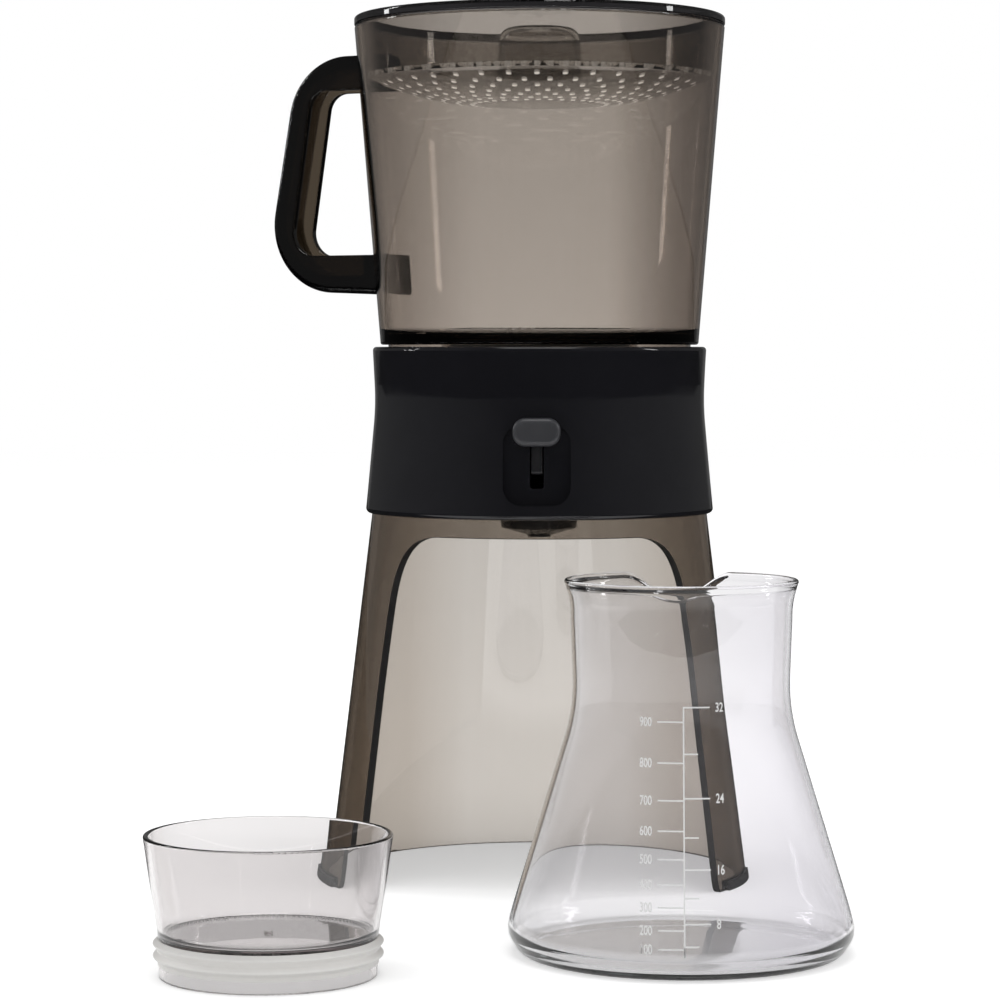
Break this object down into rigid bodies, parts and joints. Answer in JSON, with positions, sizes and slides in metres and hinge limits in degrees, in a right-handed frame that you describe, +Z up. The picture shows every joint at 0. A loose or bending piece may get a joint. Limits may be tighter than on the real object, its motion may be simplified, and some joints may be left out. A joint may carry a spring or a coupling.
{
  "type": "cold brew coffee maker",
  "caption": "Cold brew coffee maker: smoked brewing container with rain lid and handle on an arched stand with a drain switch, beside a graduated glass carafe and its stopper cup.",
  "frame": {"origin": "centre of the stand's round foot, on the surface that it stands on", "axes": "+Z up along the tower's axis; the switch and the open arch face -Y, and +X is to the right seen from there"},
  "size_m": [0.2665, 0.3789, 0.377],
  "materials": {
    "smoke_plastic": "clear, smoke tinted",
    "clear_plastic": "clear, lightly tinted",
    "glass": "clear blown glass, polished",
    "black_gloss": "glossy black",
    "black_matte": "fine matt black",
    "grey_plastic": "satin dark grey",
    "silicone": "soft translucent silicone",
    "rubber": "soft matt rubber",
    "steel": "bright stainless steel"
  },
  "bodies": {
    "stand": {"stand_shell": "smoke_plastic", "foot_pads": "rubber", "collar": "black_gloss", "collar_deck": "black_gloss", "base_plate": "black_matte", "drip_spout": "black_matte", "case_screws": "steel", "spout_screws": "steel", "lever_bracket": "black_matte", "bracket_screws": "steel", "lever_pin": "steel"},
    "switch": {"switch_lever": "grey_plastic", "switch_pad": "grey_plastic"},
    "container": {"container": "smoke_plastic", "handle": "smoke_plastic", "valve_housing": "clear_plastic", "housing_gasket": "silicone", "valve_nut": "black_matte"},
    "valve": {"valve_plunger": "black_matte", "valve_seal": "silicone", "valve_clip": "steel", "valve_spring": "steel"},
    "filter": {"filter_frame": "black_matte", "filter_mesh": "steel", "filter_gasket": "silicone"},
    "lid": {"lid_ring": "smoke_plastic", "rain_plate": "smoke_plastic", "lid_knob": "clear_plastic"},
    "carafe": {"carafe": "glass"},
    "stopper": {"stopper_cup": "clear_plastic", "stopper_gasket": "silicone"}
  },
  "joints": [
    {"name": "container_lift", "type": "slide", "parent": "stand", "child": "container", "axis": [0, 0, 1], "range_m": [0, 0.15]},
    {"name": "lid_lift", "type": "slide", "parent": "container", "child": "lid", "axis": [0, 0, 1], "range_m": [0, 0.12]},
    {"name": "filter_lift", "type": "slide", "parent": "container", "child": "filter", "axis": [0, 0, 1], "range_m": [0, 0.08]},
    {"name": "switch_tilt", "type": "hinge", "parent": "stand", "child": "switch", "pos_m": [0, -0.022, 0.178], "axis": [1, 0, 0], "range_deg": [0, 16]},
    {"name": "valve_lift", "type": "slide", "parent": "container", "child": "valve", "axis": [0, 0, 1], "range_m": [0, 0.0062], "deforming": ["valve_spring"]},
    {"name": "carafe_lift", "type": "slide", "parent": "stand", "child": "carafe", "axis": [0, 0, 1], "range_m": [0, 0.15]},
    {"name": "cup_lift", "type": "slide", "parent": "stand", "child": "stopper", "axis": [0, 0, 1], "range_m": [0, 0.15]}
  ],
  "couplings": [
    {"joint": "valve_lift", "follows": "switch_tilt", "m_per_rad": 0.0221}
  ]
}
